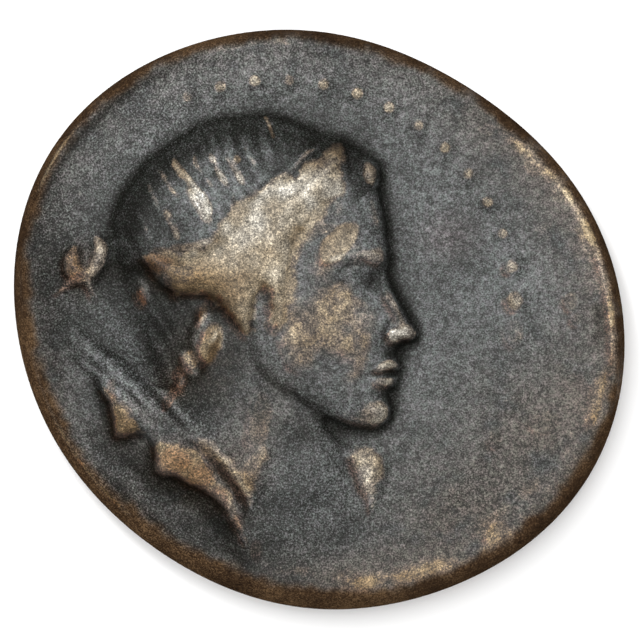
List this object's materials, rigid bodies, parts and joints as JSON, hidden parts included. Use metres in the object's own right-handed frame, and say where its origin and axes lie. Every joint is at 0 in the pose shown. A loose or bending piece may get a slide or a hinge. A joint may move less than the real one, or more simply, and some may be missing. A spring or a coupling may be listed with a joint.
{
  "type": "ancient bronze coin",
  "caption": "Thick oval hand-struck bronze coin: a draped bust facing right inside a worn beaded border, and a star in a laurel wreath on the back.",
  "frame": {"origin": "middle of the coin's outline box, in the plane that its reverse lies on", "axes": "+Z out of the obverse, +Y towards the crown of the head, +X the way the head faces and the longest way across"},
  "size_m": [0.0235, 0.0223, 0.0038],
  "materials": {
    "patinated_bronze": "dark grey-green granular patina, worn to warm tan bronze on the high relief and to brown along the edge"
  },
  "bodies": {
    "root": {"bronze_coin": "patinated_bronze"}
  },
  "joints": []
}
